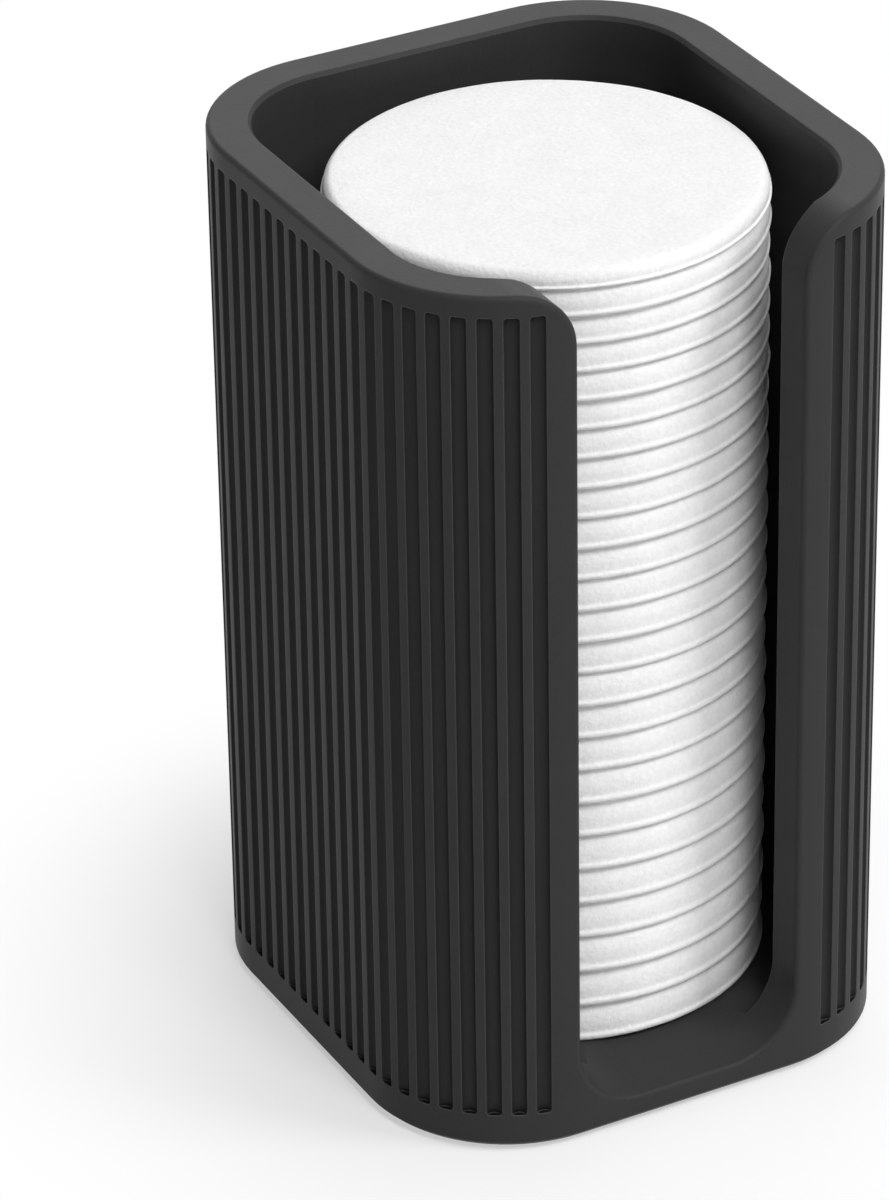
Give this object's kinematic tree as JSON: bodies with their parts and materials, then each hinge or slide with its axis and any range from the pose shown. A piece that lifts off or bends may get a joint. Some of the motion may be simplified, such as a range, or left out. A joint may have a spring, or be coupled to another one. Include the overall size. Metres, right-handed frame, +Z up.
{
  "type": "cotton pad dispenser",
  "caption": "Open-topped fluted holder with a front finger slot, holding a stack of round cotton pads that lift out of the top.",
  "frame": {"origin": "on the surface that the holder stands on, under the middle of its plan", "axes": "+Z up, the front slot faces -Y, +X to the right of someone facing the slot"},
  "size_m": [0.075, 0.078, 0.1283],
  "materials": {
    "holder_plastic": "fine matte moulding",
    "foot_rubber": "matte non-slip rubber",
    "cotton": "pressed cotton fibre"
  },
  "bodies": {
    "holder": {"holder": "holder_plastic", "base_feet": "foot_rubber"},
    "pad_01": {"pad_01": "cotton"},
    "pad_02": {"pad_02": "cotton"},
    "pad_03": {"pad_03": "cotton"},
    "pad_04": {"pad_04": "cotton"},
    "pad_05": {"pad_05": "cotton"},
    "pad_06": {"pad_06": "cotton"},
    "pad_07": {"pad_07": "cotton"},
    "pad_08": {"pad_08": "cotton"},
    "pad_09": {"pad_09": "cotton"},
    "pad_10": {"pad_10": "cotton"},
    "pad_11": {"pad_11": "cotton"},
    "pad_12": {"pad_12": "cotton"},
    "pad_13": {"pad_13": "cotton"},
    "pad_14": {"pad_14": "cotton"},
    "pad_15": {"pad_15": "cotton"},
    "pad_16": {"pad_16": "cotton"},
    "pad_17": {"pad_17": "cotton"},
    "pad_18": {"pad_18": "cotton"},
    "pad_19": {"pad_19": "cotton"},
    "pad_20": {"pad_20": "cotton"},
    "pad_21": {"pad_21": "cotton"},
    "pad_22": {"pad_22": "cotton"},
    "pad_23": {"pad_23": "cotton"},
    "pad_24": {"pad_24": "cotton"},
    "pad_25": {"pad_25": "cotton"}
  },
  "joints": [
    {"name": "pad_01_lift", "type": "slide", "parent": "holder", "child": "pad_01", "axis": [0, 0, 1], "range_m": [0, 0.1261]},
    {"name": "pad_02_lift", "type": "slide", "parent": "pad_01", "child": "pad_02", "axis": [0, 0, 1], "range_m": [0, 0.1205]},
    {"name": "pad_03_lift", "type": "slide", "parent": "pad_02", "child": "pad_03", "axis": [0, 0, 1], "range_m": [0, 0.115]},
    {"name": "pad_04_lift", "type": "slide", "parent": "pad_03", "child": "pad_04", "axis": [0, 0, 1], "range_m": [0, 0.1095]},
    {"name": "pad_05_lift", "type": "slide", "parent": "pad_04", "child": "pad_05", "axis": [0, 0, 1], "range_m": [0, 0.1041]},
    {"name": "pad_06_lift", "type": "slide", "parent": "pad_05", "child": "pad_06", "axis": [0, 0, 1], "range_m": [0, 0.0988]},
    {"name": "pad_07_lift", "type": "slide", "parent": "pad_06", "child": "pad_07", "axis": [0, 0, 1], "range_m": [0, 0.0936]},
    {"name": "pad_08_lift", "type": "slide", "parent": "pad_07", "child": "pad_08", "axis": [0, 0, 1], "range_m": [0, 0.0884]},
    {"name": "pad_09_lift", "type": "slide", "parent": "pad_08", "child": "pad_09", "axis": [0, 0, 1], "range_m": [0, 0.0833]},
    {"name": "pad_10_lift", "type": "slide", "parent": "pad_09", "child": "pad_10", "axis": [0, 0, 1], "range_m": [0, 0.0783]},
    {"name": "pad_11_lift", "type": "slide", "parent": "pad_10", "child": "pad_11", "axis": [0, 0, 1], "range_m": [0, 0.0734]},
    {"name": "pad_12_lift", "type": "slide", "parent": "pad_11", "child": "pad_12", "axis": [0, 0, 1], "range_m": [0, 0.0685]},
    {"name": "pad_13_lift", "type": "slide", "parent": "pad_12", "child": "pad_13", "axis": [0, 0, 1], "range_m": [0, 0.0637]},
    {"name": "pad_14_lift", "type": "slide", "parent": "pad_13", "child": "pad_14", "axis": [0, 0, 1], "range_m": [0, 0.059]},
    {"name": "pad_15_lift", "type": "slide", "parent": "pad_14", "child": "pad_15", "axis": [0, 0, 1], "range_m": [0, 0.0543]},
    {"name": "pad_16_lift", "type": "slide", "parent": "pad_15", "child": "pad_16", "axis": [0, 0, 1], "range_m": [0, 0.0498]},
    {"name": "pad_17_lift", "type": "slide", "parent": "pad_16", "child": "pad_17", "axis": [0, 0, 1], "range_m": [0, 0.0453]},
    {"name": "pad_18_lift", "type": "slide", "parent": "pad_17", "child": "pad_18", "axis": [0, 0, 1], "range_m": [0, 0.0408]},
    {"name": "pad_19_lift", "type": "slide", "parent": "pad_18", "child": "pad_19", "axis": [0, 0, 1], "range_m": [0, 0.0365]},
    {"name": "pad_20_lift", "type": "slide", "parent": "pad_19", "child": "pad_20", "axis": [0, 0, 1], "range_m": [0, 0.0322]},
    {"name": "pad_21_lift", "type": "slide", "parent": "pad_20", "child": "pad_21", "axis": [0, 0, 1], "range_m": [0, 0.028]},
    {"name": "pad_22_lift", "type": "slide", "parent": "pad_21", "child": "pad_22", "axis": [0, 0, 1], "range_m": [0, 0.0238]},
    {"name": "pad_23_lift", "type": "slide", "parent": "pad_22", "child": "pad_23", "axis": [0, 0, 1], "range_m": [0, 0.0198]},
    {"name": "pad_24_lift", "type": "slide", "parent": "pad_23", "child": "pad_24", "axis": [0, 0, 1], "range_m": [0, 0.0158]},
    {"name": "pad_25_lift", "type": "slide", "parent": "pad_24", "child": "pad_25", "axis": [0, 0, 1], "range_m": [0, 0.0119]}
  ]
}
